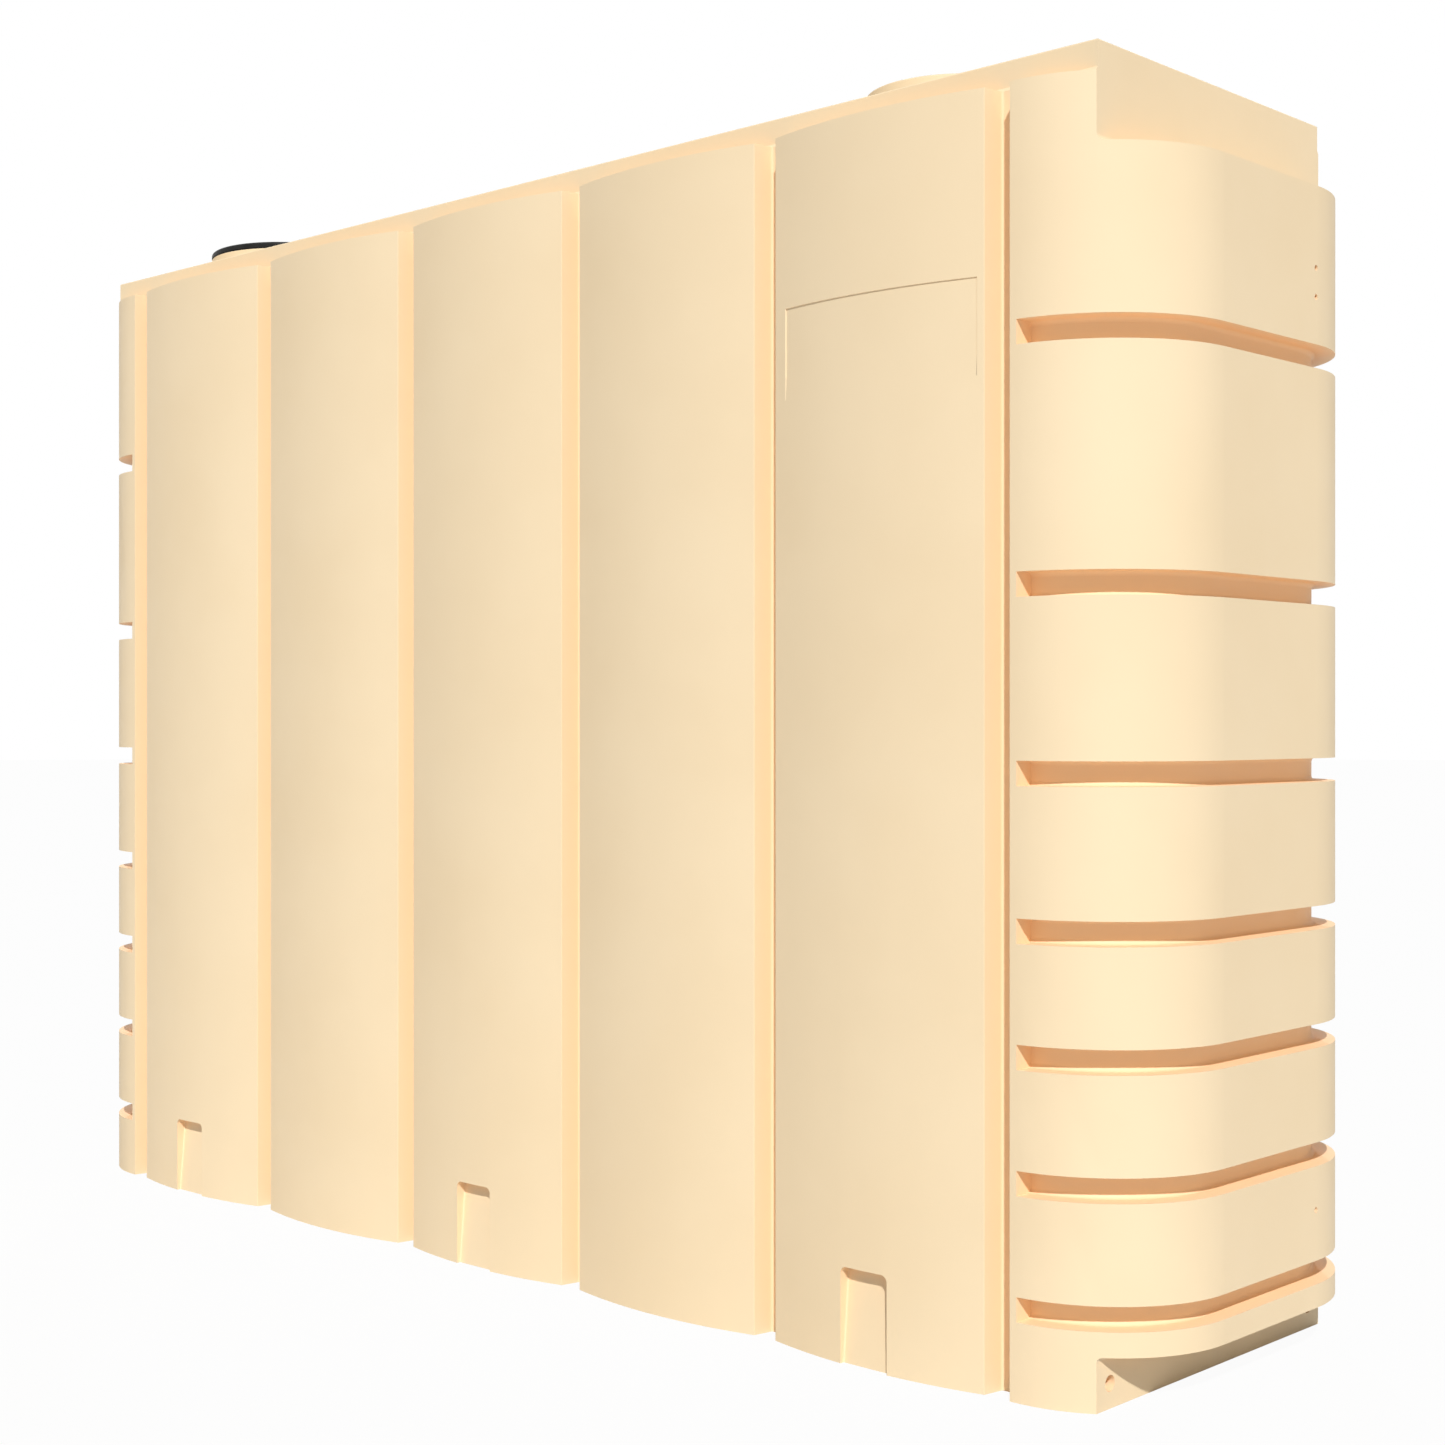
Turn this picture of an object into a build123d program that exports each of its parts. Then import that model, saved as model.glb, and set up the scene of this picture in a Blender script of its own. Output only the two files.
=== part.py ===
"""Slimline rainwater tank, about 5000 litres, with a screw-in inlet strainer.

The tank is one rotationally moulded shell. A box-shaped core carries five
crowned panels on each long side, parted by upright channels, and a
round-cornered bulge at each end with seven level grooves. The inlet neck is
open and holds the strainer, and the second neck is moulded shut.

The tank stands on Z = 0 with the origin at the middle of its base. X runs
along the tank and the front faces -Y.
"""

import os
from itertools import accumulate
from math import sqrt

from build123d import *

os.makedirs("parts", exist_ok=True)

# Core box and shell, with a plain band above the panelled part
CORE_WIDTH = 700.0
TANK_HEIGHT = 2147.0
WALL = 7.0
TOP_EDGE_RADIUS = 3.0
BAND_HEIGHT = 50.0
SHOULDER_STEP = 4.0
SHOULDER_RISE = 6.0

# Crowned panels along each long side
PANEL_COUNT = 5
PANEL_WIDTH = 450.0
CHANNEL_WIDTH = 50.0
PANEL_EDGE = 44.0
PANEL_CROWN = 71.0
PANEL_DRAFT = 7.0
PANEL_ROUND = 1.5
CHANNEL_ROOT = 5.0

# Corner panels and the bulge at each end
CORNER_PANEL = 136.5
CORNER_RADIUS = 240.0
BULGE_BOTTOM = 88.0
BULGE_DROP = 160.0
NOTCH_ROOT = 12.0
FOOT_NOTCH_ROOT = 8.0

# Level grooves round each end, as many as the bulge has room for
GROOVE_FOOT = 148.0
GROOVE_STEPS = (200.0, 200.0, 200.0, 250.0, 300.0, 400.0)
GROOVE_WIDTH = 40.0
GROOVE_DEPTH = 40.0
GROOVE_ROOT = 8.0
GROOVE_LAND = 12.5
GROOVE_MARGIN = 80.0

# Flat pads at the foot of every second panel, where an outlet can be fitted
PAD_WIDTH = 100.0
PAD_OFFSET = -5.0
PAD_TOP = 164.0
PAD_PROUD_BOTTOM = 61.0
PAD_PROUD_TOP = 47.0
PAD_CORNER = 12.0
PAD_ROOT = 3.0

# Tie-down holes under each bulge and clip holes on the right end
TIE_HOLE_RADIUS = 13.25
TIE_HOLE_DEPTH = 40.0
TIE_HOLE_INSET = 34.0
TIE_HOLE_HEIGHT = 40.0
CLIP_HOLE_RADIUS = 5.0
CLIP_HOLE_DEPTH = 20.0
CLIP_OFFSET = 146.0
CLIP_RISE = 166.0
CLIP_DROPS = (140.0, 189.0)

# Inlet neck and the neck that is moulded shut
NECK_INSET = 224.0
NECK_RADIUS = 198.0
NECK_HEIGHT = 68.0
NECK_WALL = 8.0
BLANK_INSET = 545.0
BLANK_RADIUS = 165.0
BLANK_HEIGHT = 82.0
NECK_ROOT = 8.0
BLANK_ROUND = 2.5

# Strainer that screws into the inlet neck
SEAL_THICKNESS = 3.0
SEAL_WIDTH = 6.0
THREAD_CLEARANCE = 1.0
RIM_THICKNESS = 13.0
RIM_ROUND = 6.0
SKIRT_WALL = 4.0
SKIRT_DEPTH = 60.0
LEDGE_WIDTH = 22.0
LEDGE_HEIGHT = 8.0
RIB_WIDTH = 4.0
RIB_HEIGHT = 6.0
RIB_COUNT = 16
HUB_RADIUS = 26.0
GRILLE_RINGS = (62.0, 97.0, 131.0)
GRIP_COUNT = 4
GRIP_WIDTH = 8.0
GRIP_REACH = 14.0
GRIP_DEPTH = 34.0

# Stainless mesh, its clamp ring and screws
MESH_THICKNESS = 1.2
MESH_GAP = 22.0
MESH_BAR = 5.0
MESH_ROWS = 11
FIT = 0.4
CLAMP_WIDTH = 15.0
CLAMP_THICKNESS = 3.0
SCREW_COUNT = 8
SCREW_RADIUS = 2.0
SCREW_LENGTH = 9.0
SCREW_HEAD_RADIUS = 3.8
SCREW_HEAD_HEIGHT = 2.6

# Overflow in the upper notch of the left end
OVERFLOW_RADIUS = 45.0
OVERFLOW_WALL = 3.5
OVERFLOW_SPIGOT = 62.0
OVERFLOW_FLANGE_RADIUS = 66.0
OVERFLOW_FLANGE = 6.0
OVERFLOW_THREAD = 28.0
OVERFLOW_CLEARANCE = 1.5
NUT_ACROSS_CORNERS = 128.0
NUT_THICKNESS = 14.0
NUT_SIDES = 8
SCREEN_THICKNESS = 1.2
SCREEN_GAP = 8.0
SCREEN_PITCH = 10.0
SCREEN_ROWS = 7
SCREEN_STEP = 2.0
SCREEN_RING_THICKNESS = 3.0
SCREEN_RING_WIDTH = 4.0

# Places that follow from the sizes above
panel_pitch = PANEL_WIDTH + CHANNEL_WIDTH
corner_start = (PANEL_COUNT * PANEL_WIDTH + (PANEL_COUNT + 1) * CHANNEL_WIDTH) / 2
core_end = corner_start + CORNER_PANEL
core_side = CORE_WIDTH / 2
floor_side = core_side + SHOULDER_STEP
bulge_side = core_side + PANEL_EDGE
corner_rise = CORNER_RADIUS - (bulge_side - floor_side)
corner_x = core_end - sqrt(CORNER_RADIUS**2 - corner_rise**2)
bulge_end = corner_x + CORNER_RADIUS
panel_top = TANK_HEIGHT - BAND_HEIGHT
bulge_top = TANK_HEIGHT - BULGE_DROP
groove_limit = bulge_top - GROOVE_MARGIN
groove_heights = [z for z in accumulate((GROOVE_FOOT, *GROOVE_STEPS)) if z <= groove_limit]
sagitta = PANEL_CROWN - PANEL_EDGE
crown_radius = ((PANEL_WIDTH / 2) ** 2 + sagitta**2) / (2 * sagitta)
crown_centre = core_side + PANEL_CROWN - crown_radius
pad_slope = (PAD_PROUD_BOTTOM - PAD_PROUD_TOP) / PAD_TOP
clip_heights = [BULGE_BOTTOM + CLIP_RISE] + [bulge_top - drop for drop in CLIP_DROPS]
neck_x = NECK_INSET - core_end
blank_x = core_end - BLANK_INSET
neck_top = TANK_HEIGHT + NECK_HEIGHT
neck_bore = NECK_RADIUS - NECK_WALL
blank_top = TANK_HEIGHT + BLANK_HEIGHT
skirt_radius = neck_bore - THREAD_CLEARANCE
skirt_inner = skirt_radius - SKIRT_WALL
rim_bottom = neck_top + SEAL_THICKNESS
rim_top = rim_bottom + RIM_THICKNESS
skirt_bottom = neck_top - SKIRT_DEPTH
ledge_top = skirt_bottom + LEDGE_HEIGHT
ledge_inner = skirt_inner - LEDGE_WIDTH
mesh_top = ledge_top + MESH_THICKNESS
clamp_top = mesh_top + CLAMP_THICKNESS
clamp_radius = skirt_inner - FIT
screw_circle = clamp_radius - CLAMP_WIDTH / 2
overflow_z = (bulge_top + TANK_HEIGHT) / 2
overflow_hole = OVERFLOW_RADIUS + OVERFLOW_CLEARANCE


def end_outline(inset, start):
    """Plan of the right end, round-cornered, from start to the bulge's face."""
    face = bulge_end - inset
    side = bulge_side - inset
    root = start - PANEL_DRAFT
    root_side = floor_side - inset
    with BuildSketch() as outline:
        with Locations((face, 0)):
            Rectangle(face, 2 * side, align=(Align.MAX, Align.CENTER))
        fillet(outline.vertices().group_by(Axis.X)[-1], CORNER_RADIUS - inset)
        with BuildLine():
            Polyline((face, side), (start, side), (root, root_side), (root, 0))
            Polyline((root, 0), (root, -root_side), (start, -side), (face, -side), (face, side))
        make_face(mode=Mode.INTERSECT)
    return outline.sketch


def panel_outline(inset):
    """Plan of one panel and the panel behind it, crowned front and back."""
    root = PANEL_WIDTH / 2 + PANEL_DRAFT - inset
    edge = PANEL_WIDTH / 2 - inset
    side = floor_side - inset
    rim = crown_centre + sqrt((crown_radius - inset) ** 2 - edge**2)
    crown = core_side + PANEL_CROWN - inset
    with BuildSketch() as outline:
        with BuildLine():
            Line((-root, side), (-edge, rim))
            ThreePointArc((-edge, rim), (0, crown), (edge, rim))
            Polyline((edge, rim), (root, side), (root, -side), (edge, -rim))
            ThreePointArc((edge, -rim), (0, -crown), (-edge, -rim))
            Polyline((-edge, -rim), (-root, -side), (-root, side))
        make_face()
    return outline.sketch


def tank_plan(inset):
    """Plan of the panelled part, with its panels and corner panels."""
    side = floor_side - inset
    end = core_end - inset
    with BuildSketch() as plan:
        Rectangle(2 * end, 2 * side)
        with GridLocations(panel_pitch, 0, PANEL_COUNT, 1):
            add(panel_outline(inset))
        with BuildSketch(mode=Mode.PRIVATE) as corners:
            add(end_outline(inset, corner_start + inset))
            Rectangle(2 * end, 4 * bulge_side, mode=Mode.INTERSECT)
        add(corners.sketch)
        add(corners.sketch.mirror(Plane.YZ))
        roots = plan.vertices().filter_by(
            lambda v: abs(abs(v.Y) - side) < 0.01 and abs(v.X) < corner_start + inset + 1
        )
        fillet(roots, CHANNEL_ROOT + inset)
        if inset < PANEL_ROUND:
            edges = plan.vertices().filter_by(
                lambda v: bulge_side - inset - 1 < abs(v.Y) < bulge_side - inset + 1
                and abs(v.X) < corner_start + inset + 1
            )
            fillet(edges, PANEL_ROUND - inset)
    return plan.sketch


def core_section(inset):
    """Section across the core, from the foot over the shoulders to the plain band."""
    side = core_side - inset
    foot = floor_side - inset
    shoulder = panel_top - inset
    neck = shoulder + SHOULDER_RISE
    top = TANK_HEIGHT - inset
    with BuildSketch(Plane.YZ) as section:
        with BuildLine():
            Polyline((foot, inset), (foot, shoulder), (side, neck), (side, top), (-side, top))
            Polyline((-side, top), (-side, neck), (-foot, shoulder), (-foot, inset), (foot, inset))
        make_face()
    return section.sketch


def bulge_form(inset):
    """Bulge of the right end, between its upper and lower notch."""
    roots = ((BULGE_BOTTOM + inset, FOOT_NOTCH_ROOT), (bulge_top - inset, NOTCH_ROOT))
    with BuildPart() as bulge:
        with BuildSketch(Plane.XZ) as profile:
            with BuildLine():
                Polyline(
                    (corner_start, 2 * inset),
                    (core_end - inset, 2 * inset),
                    (core_end - inset, BULGE_BOTTOM + inset),
                    (bulge_end, BULGE_BOTTOM + inset),
                    (bulge_end, bulge_top - inset),
                    (core_end - inset, bulge_top - inset),
                    (core_end - inset, panel_top - 2 * inset),
                    (corner_start, panel_top - 2 * inset),
                    close=True,
                )
            make_face()
            for height, root in roots:
                corner = profile.vertices().filter_by(
                    lambda v: abs(v.X - core_end + inset) < 0.01 and abs(v.Y - height) < 0.01
                )
                fillet(corner, root + inset)
        extrude(amount=2 * bulge_side, both=True)
        with BuildSketch():
            add(end_outline(inset, corner_start + inset))
        extrude(amount=TANK_HEIGHT, mode=Mode.INTERSECT)
    return bulge.part


def groove_ring(inset):
    """Level groove round the right end, open towards the outside."""
    floor = GROOVE_DEPTH + inset
    with BuildPart() as ring:
        with BuildSketch():
            with Locations((corner_start + GROOVE_LAND - inset, 0)):
                Rectangle(CORNER_RADIUS * 2, 3 * bulge_side, align=(Align.MIN, Align.CENTER))
            add(end_outline(floor, corner_start - CORNER_PANEL), mode=Mode.SUBTRACT)
        extrude(amount=GROOVE_WIDTH / 2 + inset, both=True)
        if inset == 0:
            roots = ring.edges().filter_by(
                lambda e: abs(e.center().Z) > 1
                and (e.geom_type == GeomType.CIRCLE or abs(e.center().X - bulge_end + floor) < 0.01)
            )
            fillet(roots, GROOVE_ROOT)
    return ring.part


def foot_pad(inset):
    """Wedge that leaves a flat, slightly leaning pad in a crowned panel."""
    foot = -(core_side + PAD_PROUD_BOTTOM - inset)
    top = PAD_TOP + inset
    below = -PAD_WIDTH
    outside = -(core_side + 2 * PANEL_CROWN)
    with BuildPart() as pad:
        with BuildSketch(Plane.YZ):
            with BuildLine():
                Polyline(
                    (foot + pad_slope * below, below),
                    (foot + pad_slope * top, top),
                    (outside, top),
                    (outside, below),
                    close=True,
                )
            make_face()
        extrude(amount=PAD_WIDTH / 2 + inset, both=True)
        if inset == 0:
            fillet(pad.edges().filter_by(Axis.Y).group_by(Axis.Z)[-1], PAD_CORNER)
            floor = pad.faces().sort_by(Axis.Y)[-1]
            fillet(floor.edges().filter_by(lambda e: e.center().Z > below + 1), PAD_ROOT)
    return pad.part


def tank_form(inset):
    """Outside of the tank, or its inside when set in by the wall."""
    bulge = bulge_form(inset)
    ring = groove_ring(inset)
    pad = foot_pad(inset)
    rings = [ring.moved(Location((0, 0, height))) for height in groove_heights]
    with BuildPart() as form:
        with BuildSketch(Plane.XY.offset(inset)):
            add(tank_plan(inset))
        extrude(amount=panel_top - 2 * inset)
        extrude(core_section(inset), amount=core_end - inset, both=True)
        add(bulge)
        add(bulge.mirror(Plane.YZ))
        add(rings, mode=Mode.SUBTRACT)
        add([copy.mirror(Plane.YZ) for copy in rings], mode=Mode.SUBTRACT)
        with Locations((PAD_OFFSET, 0)):
            with GridLocations(2 * panel_pitch, 0, (PANEL_COUNT + 1) // 2, 1):
                add(pad, mode=Mode.SUBTRACT)
                add(pad.mirror(Plane.XZ), mode=Mode.SUBTRACT)
    return form.part


tie_places = [
    Plane(origin=(side * core_end, y, TIE_HOLE_HEIGHT), z_dir=(side, 0, 0))
    for side in (-1, 1)
    for y in (-(core_side - TIE_HOLE_INSET), core_side - TIE_HOLE_INSET)
]
clip_places = [
    Plane(origin=(bulge_end, CLIP_OFFSET, height), z_dir=(1, 0, 0)) for height in clip_heights
]
overflow_plane = Plane(origin=(-core_end, 0, overflow_z), x_dir=(0, 1, 0), z_dir=(-1, 0, 0))

with BuildPart() as tank_cavity:
    add(tank_form(WALL))
    with BuildSketch(Plane.XY.offset(TANK_HEIGHT - 2 * WALL)):
        with Locations((blank_x, 0)):
            Circle(BLANK_RADIUS - WALL)
    extrude(amount=BLANK_HEIGHT + WALL)
    with BuildSketch(Plane.XY.offset(TANK_HEIGHT - 2 * WALL)):
        with Locations((neck_x, 0)):
            Circle(neck_bore)
    extrude(amount=NECK_HEIGHT + 3 * WALL)
    for place in tie_places:
        with BuildSketch(place):
            Circle(TIE_HOLE_RADIUS + WALL)
        extrude(amount=-(TIE_HOLE_DEPTH + WALL), mode=Mode.SUBTRACT)
    for place in clip_places:
        with BuildSketch(place):
            Circle(CLIP_HOLE_RADIUS + WALL)
        extrude(amount=-(CLIP_HOLE_DEPTH + WALL), mode=Mode.SUBTRACT)

with BuildPart() as tank_body:
    add(tank_form(0))
    fillet(tank_body.faces().sort_by(Axis.Z)[-1].outer_wire().edges(), TOP_EDGE_RADIUS)
    with BuildSketch(Plane.XY.offset(TANK_HEIGHT)):
        with Locations((neck_x, 0)):
            Circle(NECK_RADIUS)
    extrude(amount=NECK_HEIGHT)
    with BuildSketch(Plane.XY.offset(TANK_HEIGHT)):
        with Locations((blank_x, 0)):
            Circle(BLANK_RADIUS)
    extrude(amount=BLANK_HEIGHT)
    circles = tank_body.edges().filter_by(GeomType.CIRCLE)
    fillet(
        circles.filter_by(
            lambda e: abs(e.center().Z - TANK_HEIGHT) < 0.01
            and (abs(e.radius - NECK_RADIUS) < 0.01 or abs(e.radius - BLANK_RADIUS) < 0.01)
        ),
        NECK_ROOT,
    )
    fillet(
        tank_body.edges()
        .filter_by(GeomType.CIRCLE)
        .filter_by(lambda e: abs(e.center().Z - blank_top) < 0.01),
        BLANK_ROUND,
    )
    add(tank_cavity.part, mode=Mode.SUBTRACT)
    with Locations(*[Location(place) for place in tie_places]):
        Hole(TIE_HOLE_RADIUS, depth=TIE_HOLE_DEPTH)
    with Locations(*[Location(place) for place in clip_places]):
        Hole(CLIP_HOLE_RADIUS, depth=CLIP_HOLE_DEPTH)
    with BuildSketch(overflow_plane):
        Circle(overflow_hole)
    extrude(amount=-2 * WALL, mode=Mode.SUBTRACT)
tank_body.part.label = "tank_body"
export_step(tank_body.part, "parts/tank_body.step")

# Strainer basket: rim, skirt and ledge in one revolve, ribs and rings added
neck_axis = Axis((neck_x, 0, 0), (0, 0, 1))
neck_section = Plane(origin=(neck_x, 0, 0), x_dir=(1, 0, 0), z_dir=(0, -1, 0))
with BuildPart() as strainer_basket:
    with BuildSketch(neck_section) as section:
        with BuildLine():
            Polyline(
                (ledge_inner, skirt_bottom),
                (skirt_radius, skirt_bottom),
                (skirt_radius, rim_bottom),
                (NECK_RADIUS, rim_bottom),
                (NECK_RADIUS, rim_top),
                (skirt_inner, rim_top),
                (skirt_inner, ledge_top),
                (ledge_inner, ledge_top),
                close=True,
            )
        make_face()
        rim_corner = section.vertices().sort_by(Axis.Y)[-2:].sort_by(Axis.X)[-1]
        fillet(rim_corner, RIM_ROUND)
    revolve(axis=neck_axis)
    with BuildSketch(Plane.XY.offset(skirt_bottom)):
        with Locations((neck_x, 0)):
            with BuildSketch(mode=Mode.PRIVATE) as rings:
                for radius in sorted(GRILLE_RINGS, reverse=True):
                    Circle(radius + RIB_WIDTH / 2)
                    Circle(radius - RIB_WIDTH / 2, mode=Mode.SUBTRACT)
            add(rings.sketch)
            with PolarLocations(0, RIB_COUNT):
                Rectangle(ledge_inner + RIB_WIDTH / 2, RIB_WIDTH, align=(Align.MIN, Align.CENTER))
            Circle(HUB_RADIUS)
    extrude(amount=RIB_HEIGHT)
    with BuildSketch(Plane.XY.offset(rim_top - RIM_ROUND)):
        with Locations((neck_x, 0)):
            with PolarLocations(skirt_inner - GRIP_REACH, GRIP_COUNT):
                Rectangle(GRIP_REACH + SKIRT_WALL / 2, GRIP_WIDTH, align=(Align.MIN, Align.CENTER))
    extrude(amount=-GRIP_DEPTH)
    with BuildSketch(Plane.XY.offset(ledge_top)):
        with Locations((neck_x, 0)):
            with PolarLocations(screw_circle, SCREW_COUNT):
                Circle(SCREW_RADIUS + FIT / 4)
    extrude(amount=-(SCREW_LENGTH - MESH_THICKNESS - CLAMP_THICKNESS + 1), mode=Mode.SUBTRACT)
strainer_basket.part.label = "strainer_basket"
export_step(strainer_basket.part, "parts/strainer_basket.step")

# Mesh that lies on the basket's ledge and ribs
with BuildPart() as strainer_mesh:
    with BuildSketch(Plane.XY.offset(ledge_top)):
        with Locations((neck_x, 0)):
            Circle(clamp_radius)
            with BuildSketch(mode=Mode.PRIVATE) as gaps:
                with GridLocations(MESH_GAP + MESH_BAR, MESH_GAP + MESH_BAR, MESH_ROWS, MESH_ROWS):
                    Rectangle(MESH_GAP, MESH_GAP)
                Circle(ledge_inner - MESH_BAR, mode=Mode.INTERSECT)
            add(gaps.sketch, mode=Mode.SUBTRACT)
            with PolarLocations(screw_circle, SCREW_COUNT):
                Circle(SCREW_RADIUS + FIT / 2, mode=Mode.SUBTRACT)
    extrude(amount=MESH_THICKNESS)
strainer_mesh.part.label = "strainer_mesh"
export_step(strainer_mesh.part, "parts/strainer_mesh.step")

# Ring that clamps the mesh to the ledge
with BuildPart() as mesh_clamp_ring:
    with BuildSketch(Plane.XY.offset(mesh_top)):
        with Locations((neck_x, 0)):
            Circle(clamp_radius)
            Circle(clamp_radius - CLAMP_WIDTH, mode=Mode.SUBTRACT)
            with PolarLocations(screw_circle, SCREW_COUNT):
                Circle(SCREW_RADIUS + FIT / 2, mode=Mode.SUBTRACT)
    extrude(amount=CLAMP_THICKNESS)
mesh_clamp_ring.part.label = "mesh_clamp_ring"
export_step(mesh_clamp_ring.part, "parts/mesh_clamp_ring.step")

# Pan-head screws through the clamp ring into the ledge
with BuildPart() as clamp_screws:
    with BuildSketch(Plane.XY.offset(clamp_top)):
        with Locations((neck_x, 0)):
            with PolarLocations(screw_circle, SCREW_COUNT):
                Circle(SCREW_HEAD_RADIUS)
    extrude(amount=SCREW_HEAD_HEIGHT)
    fillet(clamp_screws.edges().group_by(Axis.Z)[-1], SCREW_HEAD_HEIGHT / 2)
    with BuildSketch(Plane.XY.offset(clamp_top)):
        with Locations((neck_x, 0)):
            with PolarLocations(screw_circle, SCREW_COUNT):
                Circle(SCREW_RADIUS)
    extrude(amount=-SCREW_LENGTH)
clamp_screws.part.label = "clamp_screws"
export_step(clamp_screws.part, "parts/clamp_screws.step")

# Flat rubber ring between the neck and the strainer's rim
with BuildPart() as lid_seal:
    with BuildSketch(Plane.XY.offset(neck_top)):
        with Locations((neck_x, 0)):
            Circle(neck_bore + THREAD_CLEARANCE / 2 + SEAL_WIDTH)
            Circle(neck_bore + THREAD_CLEARANCE / 2, mode=Mode.SUBTRACT)
    extrude(amount=SEAL_THICKNESS)
lid_seal.part.label = "lid_seal"
export_step(lid_seal.part, "parts/lid_seal.step")

# Overflow, drawn along its own axis: Z of its plane points out of the tank
outer_face = SEAL_THICKNESS + OVERFLOW_FLANGE
spigot_end = outer_face + OVERFLOW_SPIGOT
thread_end = -(WALL + OVERFLOW_THREAD)
step_depth = SCREEN_THICKNESS + SCREEN_RING_THICKNESS
overflow_bore = OVERFLOW_RADIUS - OVERFLOW_WALL
with BuildPart() as overflow_fitting:
    with BuildSketch(overflow_plane.offset(SEAL_THICKNESS)):
        Circle(OVERFLOW_FLANGE_RADIUS)
    extrude(amount=OVERFLOW_FLANGE)
    with BuildSketch(overflow_plane.offset(thread_end)):
        Circle(OVERFLOW_RADIUS)
    extrude(amount=spigot_end - thread_end)
    with BuildSketch(overflow_plane.offset(thread_end)):
        Circle(overflow_bore)
    extrude(amount=spigot_end - thread_end, mode=Mode.SUBTRACT)
    with BuildSketch(overflow_plane.offset(spigot_end)):
        Circle(overflow_bore + SCREEN_STEP)
    extrude(amount=-step_depth, mode=Mode.SUBTRACT)
overflow_fitting.part.label = "overflow_fitting"
export_step(overflow_fitting.part, "parts/overflow_fitting.step")

# Rubber washer under the overflow's flange
with BuildPart() as overflow_seal:
    with BuildSketch(overflow_plane):
        Circle(OVERFLOW_FLANGE_RADIUS - FIT)
        Circle(OVERFLOW_RADIUS + FIT, mode=Mode.SUBTRACT)
    extrude(amount=SEAL_THICKNESS)
overflow_seal.part.label = "overflow_seal"
export_step(overflow_seal.part, "parts/overflow_seal.step")

# Locknut on the overflow's thread, inside the tank
with BuildPart() as overflow_locknut:
    with BuildSketch(overflow_plane.offset(-WALL)):
        RegularPolygon(NUT_ACROSS_CORNERS / 2, NUT_SIDES)
        Circle(OVERFLOW_RADIUS + FIT / 2, mode=Mode.SUBTRACT)
    extrude(amount=-NUT_THICKNESS)
overflow_locknut.part.label = "overflow_locknut"
export_step(overflow_locknut.part, "parts/overflow_locknut.step")

# Insect screen in the overflow's mouth and the ring that keeps it there
with BuildPart() as overflow_screen:
    with BuildSketch(overflow_plane.offset(spigot_end - step_depth)):
        Circle(overflow_bore + SCREEN_STEP - FIT)
        with BuildSketch(mode=Mode.PRIVATE) as screen_gaps:
            with GridLocations(SCREEN_PITCH, SCREEN_PITCH, SCREEN_ROWS, SCREEN_ROWS):
                Rectangle(SCREEN_GAP, SCREEN_GAP)
            Circle(overflow_bore - SCREEN_RING_WIDTH, mode=Mode.INTERSECT)
        add(screen_gaps.sketch, mode=Mode.SUBTRACT)
    extrude(amount=SCREEN_THICKNESS)
overflow_screen.part.label = "overflow_screen"
export_step(overflow_screen.part, "parts/overflow_screen.step")

with BuildPart() as screen_ring:
    with BuildSketch(overflow_plane.offset(spigot_end - SCREEN_RING_THICKNESS)):
        Circle(overflow_bore + SCREEN_STEP - FIT)
        Circle(overflow_bore + SCREEN_STEP - FIT - SCREEN_RING_WIDTH, mode=Mode.SUBTRACT)
    extrude(amount=SCREEN_RING_THICKNESS)
screen_ring.part.label = "screen_ring"
export_step(screen_ring.part, "parts/screen_ring.step")
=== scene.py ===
"""Slimline rainwater tank: finishes, fine pieces and studio stage.

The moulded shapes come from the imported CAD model. This script gives every
node its finish, presses a bare recess into the shell's right panel, weaves
the wire of both screens, adds the strainer's thread and the heads of its
screws, and sets up the stage and the camera. All lengths are in metres.
"""

from math import cos, pi, radians, sin, sqrt

import bmesh
import bpy
from bpy.props import (
    FloatProperty,
    FloatVectorProperty,
    IntProperty,
    PointerProperty,
)
from mathutils import Euler, Matrix, Vector


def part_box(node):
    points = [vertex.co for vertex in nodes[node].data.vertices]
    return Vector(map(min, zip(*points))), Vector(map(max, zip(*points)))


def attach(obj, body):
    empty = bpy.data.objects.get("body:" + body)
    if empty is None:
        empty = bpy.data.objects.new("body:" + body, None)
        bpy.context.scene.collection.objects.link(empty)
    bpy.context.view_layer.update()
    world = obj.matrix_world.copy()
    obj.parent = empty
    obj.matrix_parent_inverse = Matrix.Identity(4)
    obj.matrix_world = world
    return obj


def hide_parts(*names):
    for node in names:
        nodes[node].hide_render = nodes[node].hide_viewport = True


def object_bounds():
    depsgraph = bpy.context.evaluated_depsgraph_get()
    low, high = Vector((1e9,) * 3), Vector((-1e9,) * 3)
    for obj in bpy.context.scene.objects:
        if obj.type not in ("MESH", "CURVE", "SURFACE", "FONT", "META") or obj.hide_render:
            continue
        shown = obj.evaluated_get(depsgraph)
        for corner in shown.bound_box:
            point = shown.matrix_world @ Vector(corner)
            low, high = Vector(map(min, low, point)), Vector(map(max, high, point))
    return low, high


bl_info = {
    "name": "Slimline Water Tank",
    "version": (1, 0, 0),
    "blender": (4, 5, 0),
    "location": "3D View > Sidebar > Water Tank",
    "description": "Finishes, wire screens and stage of a slimline rainwater tank",
    "category": "Add Mesh",
}

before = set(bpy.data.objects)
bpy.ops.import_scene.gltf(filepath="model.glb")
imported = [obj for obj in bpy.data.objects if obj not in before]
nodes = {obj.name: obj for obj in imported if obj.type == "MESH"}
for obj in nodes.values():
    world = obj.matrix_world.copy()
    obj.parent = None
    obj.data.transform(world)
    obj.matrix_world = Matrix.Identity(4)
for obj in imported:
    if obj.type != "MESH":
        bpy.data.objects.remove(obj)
cad_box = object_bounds()

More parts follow.
